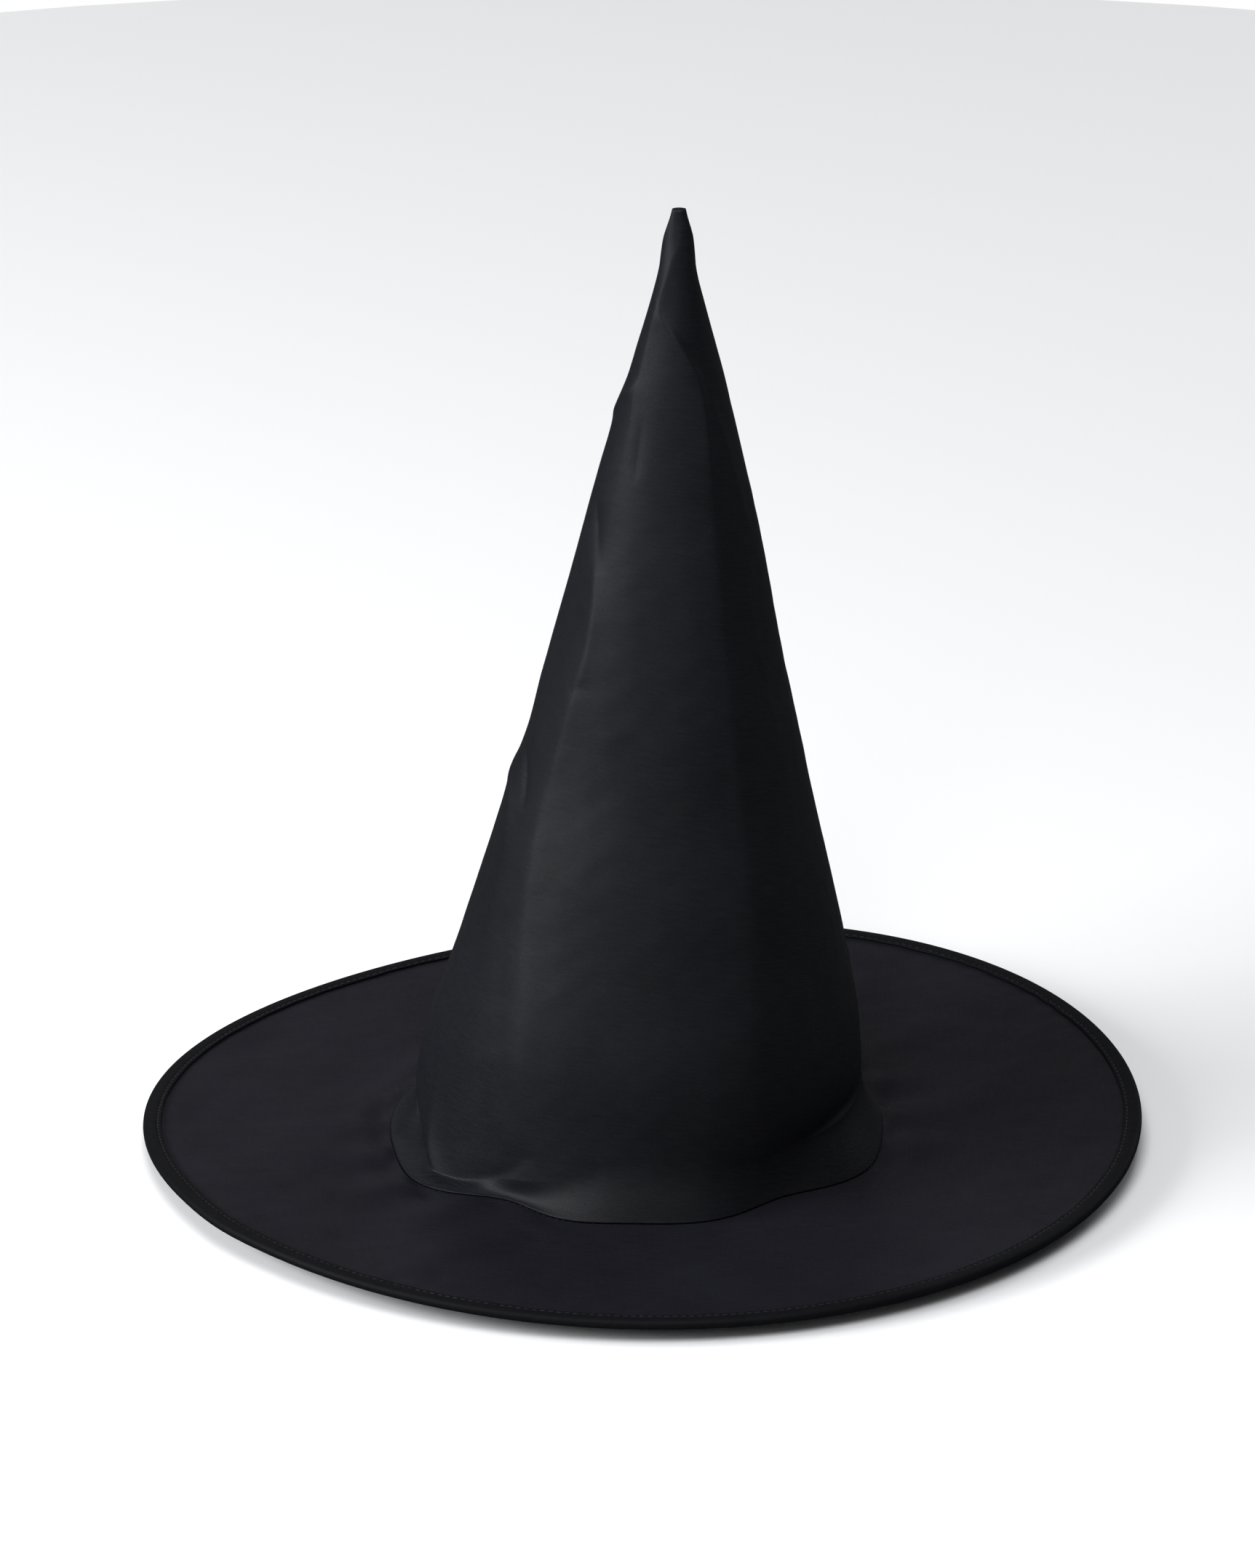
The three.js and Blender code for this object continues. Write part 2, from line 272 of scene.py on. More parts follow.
# The folds from the flat hat. Each has the share of its width that its left or lower side keeps, the
# share that its right or upper side keeps, and its points: turn, height above the brim, height of
# the fold and its half width.
FOLDS = {
    "front left ridge, tip": (1.0, 1.0, (
        (10, 379, 0.0, 2.0), (4, 370, 0.5, 2.2), (-22, 361, 1.0, 2.6), (-40, 350, 1.4, 3.2),
        (-46, 339, 1.5, 4.0), (-49, 325, 1.3, 4.5), (-49, 312, 1.3, 5.0),
        (-46, 296, 1.0, 6.5), (-46, 278, 0.6, 9.0), (-48, 262, 0.2, 9.0),
    )),
    "front left ridge, middle": (1.15, 0.8, (
        (-62, 260, 0.0, 4.0), (-54, 248, 1.0, 5.0), (-46, 231, 2.2, 6.0),
        (-44, 214, 2.8, 7.0), (-46, 196, 3.2, 9.0), (-48, 174, 3.3, 12.0),
        (-49, 152, 3.7, 15.0), (-47, 130, 4.3, 17.0), (-44, 107, 4.6, 19.0),
        (-39, 80, 4.2, 21.0), (-36, 52, 2.6, 24.0), (-34, 24, 0.5, 24.0),
    )),
    "pleat over the front": (1.0, 0.3, (
        (-42, 345, 0.2, 3.0), (-30, 341, 1.0, 4.0), (-10, 336, 1.6, 5.0),
        (8, 330, 2.2, 6.0), (22, 323, 2.5, 7.0), (30, 315, 2.3, 7.0), (32, 303, 1.6, 7.0),
        (31, 288, 1.0, 7.0), (31, 270, 0.0, 7.0),
    )),
    "front right crease": (1.0, 1.0, (
        (31, 316, 0.0, 4.0), (31, 298, 1.0, 5.0), (30, 262, 2.3, 8.0), (31, 205, 3.2, 12.0),
        (32, 140, 3.8, 16.0), (31, 92, 3.4, 18.0), (30, 57, 2.2, 20.0), (30, 28, 0.3, 20.0),
    )),
    "back crease": (1.0, 1.0, (
        (-150, 366, 0.3, 3.0), (-152, 320, 1.2, 4.5), (-153, 250, 2.0, 8.0),
        (-153, 160, 2.8, 12.0), (-154, 80, 2.5, 16.0), (-154, 32, 0.3, 16.0),
    )),
    "back right crease": (1.0, 1.0, (
        (118, 352, 0.2, 3.0), (124, 300, 0.9, 5.0), (130, 230, 1.4, 8.0),
        (128, 160, 1.8, 12.0), (124, 90, 1.4, 15.0), (122, 50, 0.2, 15.0),
    )),
    "thin crease at the right edge": (1.0, 1.0, (
        (84, 354, 0.0, 1.6), (92, 341, 0.5, 1.8), (95, 321, 0.5, 2.0), (92, 302, 0.0, 2.0),
    )),
    "thin crease on the upper right": (1.0, 1.0, (
        (43, 313, 0.0, 2.0), (47, 304, 0.5, 2.4), (56, 289, 0.6, 2.8), (66, 260, 0.4, 3.2),
        (68, 246, 0.0, 3.2),
    )),
    "thin crease on the right": (1.0, 1.0, (
        (52, 240, 0.0, 3.0), (56, 220, 0.4, 4.0), (60, 170, 0.4, 5.0), (62, 130, 0.0, 5.0),
    )),
    "kink above the left ridge": (1.0, 1.0, (
        (-36, 305, 0.0, 1.3), (-34, 296, -0.5, 2.0), (-33, 286, -0.55, 2.0),
        (-32, 278, 0.0, 1.5),
    )),
    "fold out to the left": (1.0, 0.5, (
        (-50, 317, 0.0, 3.0), (-58, 312, 1.0, 4.0), (-72, 308, 1.3, 5.0),
        (-88, 301, 1.2, 5.5), (-104, 296, 0.5, 6.0), (-118, 293, 0.0, 6.0),
    )),
    "hollow below the kink": (1.0, 1.0, (
        (-78, 271, 0.0, 3.0), (-70, 264, -0.9, 3.2), (-61, 257, -1.2, 3.2),
        (-54, 250, -0.8, 3.0), (-50, 242, 0.0, 3.0),
    )),
    "left pocket": (1.0, 1.0, (
        (-90, 168, 0.0, 2.4), (-77, 166, -1.1, 2.4), (-69, 161, -1.4, 2.4),
        (-64, 155, -1.0, 2.6), (-61, 148, 0.0, 3.0),
    )),
    "left pocket lip": (1.0, 0.6, (
        (-104, 158, 0.0, 6.0), (-90, 155, 1.3, 6.0), (-78, 151, 1.5, 6.0),
        (-70, 142, 1.0, 7.0), (-66, 124, 0.0, 7.0),
    )),
    "wrinkle across the ridge": (1.0, 1.0, (
        (-52, 197, 0.0, 1.6), (-48, 199, -0.3, 2.2), (-42, 201, -0.35, 2.2),
        (-37, 198, 0.0, 2.2),
    )),
    "right low crease": (1.0, 1.0, (
        (52, 86, 0.0, 2.4), (52, 78, 0.6, 2.6), (51, 64, 0.7, 3.0), (52, 52, 0.5, 3.0),
        (54, 42, 0.0, 3.0),
    )),
    "tuck above the right flare": (0.8, 1.7, (
        (14, 22, 0.0, 5.0), (28, 20, -1.6, 5.0), (40, 23, -2.8, 5.0), (53, 25, -3.2, 5.0),
        (67, 27, -3.1, 5.0), (84, 27, -1.9, 5.0), (104, 26, -0.4, 5.0), (120, 24, 0.0, 5.0),
    )),
    "foot corner left": (1.0, 1.0, (
        (-70, 46, 0.0, 9.0), (-69, 30, 1.2, 8.0), (-66, 15, 2.8, 5.5), (-61, 5, 3.0, 5.5),
    )),
    "foot fold left": (1.0, 1.0, (
        (-96, 30, 0.0, 1.6), (-92, 20, -3.4, 1.7), (-80, 12, -5.2, 1.8),
        (-70, 7, -4.2, 1.8), (-60, 5, 0.0, 1.6),
    )),
    "foot dent left": (1.0, 1.0, (
        (-28, 28, 0.0, 6.0), (-37, 17, -1.3, 6.0), (-45, 12, -1.0, 6.0),
        (-52, 8, -0.4, 6.0),
    )),
}
FOLD_SOFTNESS = 0.4  # how rounded a fold's crest is, in millimetres
FOLD_ROUNDING = 0.13  # and as a share of the fold's half width

# Soft dents and swellings: turn, height, depth outwards, half width round and up.
DENTS = (
    (-90, 313, -0.6, 8, 8), (-92, 172, -0.6, 14, 10), (-94, 36, 2.2, 20, 26),
    (-8, 100, -0.8, 20, 70), (-8, 220, -0.6, 12, 50), (-12, 150, 0.5, 9, 22),
    (2, 62, 0.6, 14, 20), (60, 150, -0.9, 20, 60), (62, 230, -0.6, 12, 40),
    (92, 262, 0.6, 9, 18), (-72, 80, -1.0, 18, 34), (-70, 215, -0.8, 10, 22),
    (-62, 112, 0.5, 9, 16), (44, 78, 0.7, 10, 18), (170, 120, -0.8, 20, 50),
    (-120, 120, -0.9, 22, 50), (150, 270, -0.5, 12, 30),
)

crown_swell = make_waves(12, 34, 90)
crown_ripple = make_waves(18, 9, 24)


def crown_centre(z):
    """The X of the crown's centre line, which leans towards +X."""
    return -1.5 + 0.0625 * z - 0.00006 * z**2


def crown_radius(z):
    return smooth_curve(CROWN_OUTLINE, z)


def unrolled(turn, z):
    """Where a point of the cone lies on the flat panel it was cut from, in millimetres."""
    half_angle = math.atan(CONE_SLOPE)
    slant = (APEX_Z - z) / math.cos(half_angle)
    angle = np.radians(turn) * math.sin(half_angle)
    return slant * np.sin(angle), -slant * np.cos(angle)


def fold_relief(u, v, fold):
    """The height of one fold over the panel points u, v: a rounded ridge along a smooth path."""
    low_side, high_side, knots = fold
    knots = np.asarray(knots, float)
    at = np.arange(len(knots), dtype=float)
    fine = smooth_curve(np.column_stack([at, knots]), np.linspace(0, at[-1], 12 * len(knots)))
    pu, pv = unrolled(fine[:, 0], fine[:, 1])
    best = np.full(u.shape, np.inf)
    height, width = np.zeros(u.shape), np.ones(u.shape)
    for i in range(len(fine) - 1):
        du, dv = pu[i + 1] - pu[i], pv[i + 1] - pv[i]
        t = np.clip(((u - pu[i]) * du + (v - pv[i]) * dv) / (du * du + dv * dv + 1e-9), 0, 1)
        away = np.hypot(u - pu[i] - t * du, v - pv[i] - t * dv)
        nearer = away < best
        best = np.where(nearer, away, best)
        height = np.where(nearer, fine[i, 2] + t * (fine[i + 1, 2] - fine[i, 2]), height)
        side = np.where(du * (v - pv[i]) - dv * (u - pu[i]) > 0, high_side, low_side)
        wide = (fine[i, 3] + t * (fine[i + 1, 3] - fine[i, 3])) * side
        width = np.where(nearer, wide, width)
    soft = FOLD_SOFTNESS + FOLD_ROUNDING * width
    return height * np.exp(-(np.sqrt(best**2 + soft**2) - soft) / width)


def crown_relief(turn, z):
    """How far the cloth stands out from the smooth cone, in millimetres."""
    t = wrapped(turn)
    u, v = unrolled(t, z)
    made = np.zeros(u.shape)
    for fold in FOLDS.values():
        made += fold_relief(u, v, fold)
    radius = crown_radius(z)
    for at_turn, at_z, depth, wide, tall in DENTS:
        around = np.radians(wrapped(turn - at_turn)) * radius
        made += depth * np.exp(-((around / wide) ** 2) - ((z - at_z) / tall) ** 2)
    away_from_seam = ramp(180 - np.abs(t), 1.5, 14)
    fullness = np.clip(radius / 40, 0.1, 1)
    made += 0.32 * relief(crown_swell, u, v * 0.85) * away_from_seam * fullness
    made += 0.05 * relief(crown_ripple, u, v * 0.9) * away_from_seam * fullness
    return made + back_seam_relief(t, z, radius)


def back_seam_relief(t, z, radius):
    """The crown's back seam: a fine groove between two slightly raised seam allowances."""
    beside = np.radians(180 - np.abs(t)) * radius
    allowance = 0.55 * ramp(9.5 - beside, 0, 2.2)
    groove = -0.75 * np.exp(-((beside / 0.8) ** 2))
    pulls = 0.16 * np.sin(z / 11 + np.sin(z / 31)) * np.exp(-beside / 12)
    return (allowance + groove + pulls) * ramp(z, 12, 30) * ramp(TIP_Z - z, 2, 12)


def flare_rows(turn, flare, wall_r, wall_z):
    """The rows between the head seam and the wall's foot: each row's share, radii and heights."""
    seam_r, seam_z = seam_radius(turn) - 0.05, seam_height(turn) + BRIM_HALF + 0.72
    reach = np.hypot(wall_r - seam_r, wall_z - seam_z) * 1.15
    angle = np.radians(flare[:, 1])
    ease = 1 - 0.75 * flare[:, 2]
    slope = crown_radius(wall_z + 1) - crown_radius(wall_z)
    share = np.linspace(0, 1, FLARE_ROWS, endpoint=False)[:, None]
    start, start_slope, end, end_slope = hermite(share)
    r = start * seam_r + start_slope * (-np.cos(angle) * reach)
    r = r + end * wall_r + end_slope * (slope * reach * ease)
    z = start * seam_z + start_slope * (np.sin(angle) * reach)
    z = z + end * wall_z + end_slope * (reach * ease)
    left_pleat = FOLDS["foot fold left"]
    pleat = fold_relief(*unrolled(np.broadcast_to(turn, z.shape), z), left_pleat)
    at_wall = fold_relief(*unrolled(turn, wall_z), left_pleat)
    return share, r + (pleat - at_wall * end) * ramp(share, 0.05, 0.3), z


def crown_grid():
    """The turns of the crown's columns, and its outer surface as rows of points, foot first."""
    turn = np.linspace(-180, 180, COLUMNS, endpoint=False)
    flare = smooth_curve(FLARE, turn)
    foot_z = flare[:, 0] + seam_height(turn) - SEAM_Z
    wall_z = foot_z + (TIP_Z - foot_z) * np.linspace(0, 1, WALL_ROWS + 1)[:, None]
    wall_r = crown_radius(wall_z) + crown_relief(np.broadcast_to(turn, wall_z.shape), wall_z)
    wall_x = crown_centre(wall_z)
    share, flare_r, flare_z = flare_rows(turn, flare, wall_r[0], foot_z)
    flare_x = SEAM_X + (wall_x[0] - SEAM_X) * share**0.8

    roll = np.array(FOOT_ROLL)
    roll_r = seam_radius(turn) + roll[:, :1]
    roll_z = seam_height(turn) + BRIM_HALF + roll[:, 1:]

    r = np.vstack([roll_r, flare_r, wall_r])
    z = np.vstack([roll_z, flare_z, wall_z])
    centre = np.vstack([np.full(roll_r.shape, SEAM_X), flare_x, wall_x])
    flatten = 1 - 0.38 * ramp(z, 350, TIP_Z)
    a = np.radians(turn)
    return turn, np.stack([centre + r * np.sin(a), -r * np.cos(a) * flatten, z], axis=-1)


# ---- Mesh building ----


def grid_normals(points):
    """Unit normals of a grid whose rows of points close round the hat."""
    along = np.roll(points, -1, axis=1) - np.roll(points, 1, axis=1)
    up = np.gradient(points, axis=0)
    normal = np.cross(along, up)
    return normal / np.maximum(np.linalg.norm(normal, axis=-1, keepdims=True), 1e-9)


def path_lengths(path):
    """The distance of each of a path's points from its first, along the path."""
    return np.concatenate([[0], np.cumsum(np.linalg.norm(np.diff(path, axis=0), axis=1))])


def flat_grid(lengths, widths):
    """Flat coordinates of a grid with a row for each length and a column for each width."""
    return np.stack(np.meshgrid(lengths, widths, indexing="ij"), axis=-1).reshape(-1, 2)


def write_flat(mesh, flat):
    """Sets the flat coordinates of each vertex, in millimetres, in the mesh's cloth layer."""
    loops = np.zeros(len(mesh.loops), dtype=np.int64)
    mesh.loops.foreach_get("vertex_index", loops)
    values = (np.asarray(flat)[loops] * MM).astype(np.float32)
    mesh.uv_layers["cloth"].data.foreach_set("uv", values.ravel())


def finish_mesh(name, vertices, faces, flat, material):
    """An object from vertices in millimetres, that rides on the hat. flat is per vertex."""
    mesh = bpy.data.meshes.new(name)
    mesh.from_pydata((np.asarray(vertices) * MM).tolist(), [], faces)
    mesh.validate(verbose=False)
    mesh.uv_layers.new(name="cloth")
    write_flat(mesh, flat)
    mesh.polygons.foreach_set("use_smooth", np.full(len(mesh.polygons), True))
    mesh.materials.append(material)
    made = bpy.data.objects.new(name, mesh)
    bpy.context.scene.collection.objects.link(made)
    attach(made, "root")
    return made


def ring_faces(rows, columns, offset=0, flip=False):
    """Quads over a grid of vertex numbers whose rows close on themselves."""
    number = offset + np.arange(rows * columns).reshape(rows, columns)
    right = np.roll(number, -1, axis=1)
    quads = np.stack([number[:-1], right[:-1], right[1:], number[1:]], axis=-1).reshape(-1, 4)
    return (quads[:, ::-1] if flip else quads).tolist()


def cloth_solid(name, outer, inner, uv, material, pole=None):
    """A closed thin cloth between two grids of the same shape, which wrap round the hat.

    pole, if given, is a pair of points that close the last rows of the two grids."""
    rows, columns = outer.shape[:2]
    count = rows * columns
    vertices = np.concatenate([outer.reshape(-1, 3), inner.reshape(-1, 3)])
    flat = np.concatenate([uv.reshape(-1, 2), uv.reshape(-1, 2)])
    faces = ring_faces(rows, columns) + ring_faces(rows, columns, count, flip=True)
    first = np.arange(columns)
    after = np.roll(first, -1)
    faces += np.stack([first, first + count, after + count, after], axis=-1).tolist()
    last, last_after = first + count - columns, after + count - columns
    if pole is None:
        edge = np.stack([last, last_after, last_after + count, last + count], axis=-1)
        faces += edge.tolist()
    else:
        vertices = np.concatenate([vertices, pole])
        flat = np.concatenate([flat, np.repeat(uv[-1].mean(axis=0)[None], 2, axis=0)])
        pairs = list(zip(last.tolist(), last_after.tolist()))
        faces += [[a, b, 2 * count] for a, b in pairs]
        faces += [[b + count, a + count, 2 * count + 1] for a, b in pairs]
    return finish_mesh(name, vertices, faces, flat, material)


def tube(name, path, sections, material, closed=True):
    """A swept solid: sections[i] is a closed outline of points in space about path[i]."""
    rows, columns = sections.shape[:2]
    vertices = sections.reshape(-1, 3)
    number = np.arange(rows * columns).reshape(rows, columns)
    right = np.roll(number, -1, axis=1)
    nxt = np.roll(number, -1, axis=0)
    far = np.roll(nxt, -1, axis=1)
    quads = np.stack([number, right, far, nxt], axis=-1)
    faces = (quads if closed else quads[:-1]).reshape(-1, 4).tolist()
    lengths = path_lengths(path)
    flat = flat_grid(lengths, np.arange(columns))
    if not closed:
        vertices = np.concatenate([vertices, [path[0], path[-1]]])
        flat = np.concatenate([flat, [[0, 0], [lengths[-1], 0]]])
        start, end = rows * columns, rows * columns + 1
        faces += [[int(b), int(a), start] for a, b in zip(number[0], right[0])]
        faces += [[int(a), int(b), end] for a, b in zip(number[-1], right[-1])]
    return finish_mesh(name, vertices, faces, flat, material)


def round_sections(path, across, up, radius, sides):
    """Circles of a radius about each path point, in the plane of two unit vectors."""
    angle = np.linspace(0, 2 * math.pi, sides, endpoint=False)
    r = np.broadcast_to(np.asarray(radius, float), (len(path),))[:, None, None]
    return (
        path[:, None, :]
        + r * np.cos(angle)[None, :, None] * across[:, None, :]
        + r * np.sin(angle)[None, :, None] * up[:, None, :]
    )


def stitch_rings(centre, up, radius):
    """Rings of points about a stitch's centre line, which dips in at both of its ends."""
    share = np.linspace(-1, 1, len(centre))
    centre = centre - up * (radius * 1.3 * np.abs(share) ** 3)[:, None]
    forward = np.gradient(centre, axis=0)
    forward /= np.linalg.norm(forward, axis=1, keepdims=True)
    up = up - forward * (up * forward).sum(axis=1, keepdims=True)
    up /= np.linalg.norm(up, axis=1, keepdims=True)
    side = np.cross(forward, up)
    thick = radius * np.sqrt(np.clip(1.12 - np.abs(share) ** 4, 0.1, 1))
    return [
        centre[k] + (side[k] * math.cos(a) + up[k] * math.sin(a)) * thick[k]
        for k in range(len(centre)) for a in STITCH_TURNS
    ]


def stitches(name, path, outwards, stitch, closed=True):
    """A row of separate stitches along a path, each a short thread. stitch is one of the kinds."""
    pitch, length, radius = stitch
    full = np.concatenate([path, path[:1]]) if closed else path
    out = np.concatenate([outwards, outwards[:1]]) if closed else outwards
    at = path_lengths(full)
    count = max(1, int(at[-1] / pitch))
    sides, steps = len(STITCH_TURNS), STITCH_STEPS
    vertices, faces, flat = [], [], []

    def read(values, s):
        return np.stack([np.interp(s, at, values[:, k]) for k in range(3)], axis=-1)

    for i in range(count):
        middle = (i + 0.5) * at[-1] / count
        s = middle + np.linspace(-0.5, 0.5, steps) * (length * rng.uniform(0.92, 1.06))
        base = len(vertices)
        vertices += stitch_rings(read(full, s), read(out, s), radius)
        flat += [(along, a * radius) for along in s for a in STITCH_TURNS]
        faces += ring_faces(steps, sides, base, flip=True)
        faces.append([base + k for k in range(sides)])
        faces.append([base + (steps - 1) * sides + k for k in reversed(range(sides))])
    return finish_mesh(name, vertices, faces, flat, thread)


# ---- Materials ----


class Nodes:
    """A small helper that adds and joins shader nodes."""

    def __init__(self, name):
        self.material = bpy.data.materials.new(name)
        self.material.use_nodes = True
        self.tree = self.material.node_tree
        self.shader = self.tree.nodes["Principled BSDF"]

    def add(self, kind, **settings):
        node = self.tree.nodes.new(kind)
        for key, value in settings.items():
            setattr(node, key, value)
        return node

    def join(self, source, target):
        self.tree.links.new(source, target)
        return target

    def feed(self, socket, value):
        if isinstance(value, bpy.types.NodeSocket):
            self.join(value, socket)
        else:
            socket.default_value = value

    def math(self, operation, a, b=0.0):
        node = self.add("ShaderNodeMath", operation=operation)
        self.feed(node.inputs[0], a)
        self.feed(node.inputs[1], b)
        return node.outputs[0]

    def noise(self, vector, scale, detail=2.0, roughness=0.5):
        node = self.add("ShaderNodeTexNoise")
        self.join(vector, node.inputs["Vector"])
        node.inputs["Scale"].default_value = scale
        node.inputs["Detail"].default_value = detail
        node.inputs["Roughness"].default_value = roughness
        return node.outputs["Fac"]

    def between(self, value, low, high):
        """value, which runs from 0 to 1, brought to between low and high."""
        node = self.add("ShaderNodeMapRange")
        self.feed(node.inputs["Value"], value)
        node.inputs["To Min"].default_value = low
        node.inputs["To Max"].default_value = high
        return node.outputs["Result"]

    def shades(self, value, dark, light):
        """A colour between two, by value."""
        node = self.add("ShaderNodeMix", data_type="RGBA")
        self.feed(node.inputs["Factor"], value)
        node.inputs["A"].default_value = (*dark, 1)
        node.inputs["B"].default_value = (*light, 1)
        return node.outputs["Result"]

    def bump(self, height, distance, strength=1.0, onto=None):
        node = self.add("ShaderNodeBump")
        self.join(height, node.inputs["Height"])
        node.inputs["Distance"].default_value = distance
        node.inputs["Strength"].default_value = strength
        if onto is not None:
            self.join(onto, node.inputs["Normal"])
        return node.outputs["Normal"]

    def surface(self, **values):
        """Sets the surface shader's inputs, whose names have _ for each space here."""
        for key, value in values.items():
            self.feed(self.shader.inputs[key.replace("_", " ")], value)


def cloth_vectors(nodes, turned=0.0):
    """The cloth's own flat coordinates in metres, turned by some degrees, and their two parts."""
    uv = nodes.add("ShaderNodeUVMap", uv_map="cloth").outputs["UV"]
    mapping = nodes.add("ShaderNodeMapping")
    nodes.join(uv, mapping.inputs["Vector"])
    mapping.inputs["Rotation"].default_value[2] = math.radians(turned)
    parts = nodes.add("ShaderNodeSeparateXYZ")
    nodes.join(mapping.outputs["Vector"], parts.inputs["Vector"])
    return mapping.outputs["Vector"], parts.outputs["X"], parts.outputs["Y"]


def weave(nodes, u, v, pitch):
    """The height of a plain weave, 0 in the gaps and 1 on top of the threads."""
    warp = nodes.math("MULTIPLY", u, math.pi / pitch)
    weft = nodes.math("MULTIPLY", v, math.pi / pitch)
    sin_warp, sin_weft = nodes.math("SINE", warp), nodes.math("SINE", weft)
    over = nodes.math("GREATER_THAN", nodes.math("MULTIPLY", sin_warp, sin_weft), 0.0)
    round_warp = nodes.math("ABSOLUTE", sin_warp)
    round_weft = nodes.math("ABSOLUTE", sin_weft)
    top = nodes.math("MULTIPLY", round_warp, nodes.math("POWER", round_weft, 0.45))
    other = nodes.math("MULTIPLY", round_weft, nodes.math("POWER", round_warp, 0.45))
    picked = nodes.math("MULTIPLY", top, over)
    rest = nodes.math("MULTIPLY", other, nodes.math("SUBTRACT", 1.0, over))
    return nodes.math("ADD", picked, nodes.math("MULTIPLY", rest, 0.85))


def polyester(name, dark, light, roughness, turned=0.0, pitch=0.00042, sheen=0.006,
              sheen_tint=(0.80, 0.86, 1.0), gloss=0.05):
    """Black polyester plain weave: fine threads, uneven sheen, faint slubs and handling marks."""
    nodes = Nodes(name)
    vector, u, v = cloth_vectors(nodes, turned)
    threads = weave(nodes, u, v, pitch)
    slub_space = nodes.add("ShaderNodeMapping")
    nodes.join(vector, slub_space.inputs["Vector"])
    slub_space.inputs["Scale"].default_value = (0.06, 1.0, 1.0)
    slubs = nodes.noise(slub_space.outputs["Vector"], 1800, 1.0)
    patches = nodes.noise(vector, 28, 3.0, 0.55)
    handling = nodes.noise(vector, 140, 4.0, 0.6)
    grain = nodes.noise(vector, 1000, 2.0, 0.6)
    # The colour darkens in the weave's gaps between threads: painted shade. Patches, slubs and grain
    # add random tone.
    shade = nodes.math("MULTIPLY", nodes.between(threads, 0.35, 1.0), nodes.between(patches, 0.6, 1.3))
    shade = nodes.math("MULTIPLY", shade, nodes.between(slubs, 0.45, 1.55))
    shade = nodes.math("MULTIPLY", shade, nodes.between(grain, 0.5, 1.5))
    rough = nodes.math("ADD", nodes.between(patches, -0.07, 0.07), roughness)
    rough = nodes.math("ADD", rough, nodes.between(handling, -0.05, 0.05))
    coarse = nodes.bump(handling, 0.00018, 0.5)
    ribbed = nodes.bump(slubs, 0.00004, 0.5, coarse)
    relieved = nodes.bump(threads, 0.00007, 0.55, ribbed)
    nodes.surface(
        Base_Color=nodes.shades(shade, dark, light), Roughness=rough,
        Normal=relieved, Coat_Normal=relieved,
        Specular_IOR_Level=0.02, Sheen_Weight=sheen, Sheen_Roughness=0.5,
        Sheen_Tint=(*sheen_tint, 1), Coat_Weight=gloss, Coat_IOR=1.8, Coat_Roughness=0.42,
    )
    return nodes.material


def ribbed_ribbon(name, dark, light):
    """Grosgrain ribbon: fine ribs across its width, of a twilled thread."""
    rib, twill_pitch = 0.00085, 0.0003
    nodes = Nodes(name)
    vector, u, v = cloth_vectors(nodes)
    ribs = nodes.math("ABSOLUTE", nodes.math("SINE", nodes.math("MULTIPLY", u, math.pi / rib)))
    twilled = nodes.math("SINE", nodes.math("MULTIPLY", v, math.pi / twill_pitch))
    twill = nodes.math("ABSOLUTE", twilled)
    height = nodes.math("ADD", ribs, nodes.math("MULTIPLY", twill, 0.15))
    patches = nodes.noise(vector, 60, 3.0)
    # The colour darkens in the hollows between the ribs: painted shade. Patches add random tone.
    shade = nodes.math("MULTIPLY", nodes.between(ribs, 0.3, 1.0), nodes.between(patches, 0.6, 1.3))
    nodes.surface(
        Base_Color=nodes.shades(shade, dark, light), Roughness=nodes.between(patches, 0.5, 0.68),
        Normal=nodes.bump(height, 0.00016, 0.8),
        Specular_IOR_Level=0.35, Sheen_Weight=0.15, Sheen_Roughness=0.5,
    )
    return nodes.material


def nonwoven(name, dark, light):
    """Black non-woven interlining: matted fibres and the dots that bond it."""
    nodes = Nodes(name)
    vector, _, _ = cloth_vectors(nodes)
    fibres = nodes.noise(vector, 900, 6.0, 0.7)
    clouds = nodes.noise(vector, 45, 4.0, 0.6)
    dots = nodes.add("ShaderNodeTexVoronoi", feature="F1")
    nodes.join(vector, dots.inputs["Vector"])
    dots.inputs["Scale"].default_value = 420
    dots.inputs["Randomness"].default_value = 0.12
    pressed = nodes.math("LESS_THAN", dots.outputs["Distance"], 0.22)
    shade = nodes.math("ADD", nodes.math("MULTIPLY", fibres, 0.6), nodes.math("MULTIPLY", clouds, 0.5))
    shade = nodes.math("SUBTRACT", shade, nodes.math("MULTIPLY", pressed, 0.25))
    height = nodes.math("SUBTRACT", fibres, nodes.math("MULTIPLY", pressed, 0.8))
    nodes.surface(
        Base_Color=nodes.shades(shade, dark, light), Roughness=nodes.between(clouds, 0.8, 0.95),
        Normal=nodes.bump(height, 0.00012, 0.7), Specular_IOR_Level=0.2,
    )
    return nodes.material


def sewing_thread(name, dark, light):
    """Twisted polyester thread."""
    nodes = Nodes(name)
    _, u, v = cloth_vectors(nodes)
    twist = nodes.math("ADD", nodes.math("MULTIPLY", u, 14000), nodes.math("MULTIPLY", v, 9000))
    strands = nodes.math("ABSOLUTE", nodes.math("SINE", twist))
    # The colour darkens in the grooves between the twisted strands: painted shade.
    nodes.surface(
        Base_Color=nodes.shades(strands, dark, light), Roughness=nodes.between(strands, 0.55, 0.42),
        Normal=nodes.bump(strands, 0.00005, 0.6), Specular_IOR_Level=0.2, Sheen_Weight=0.03,
    )
    return nodes.material


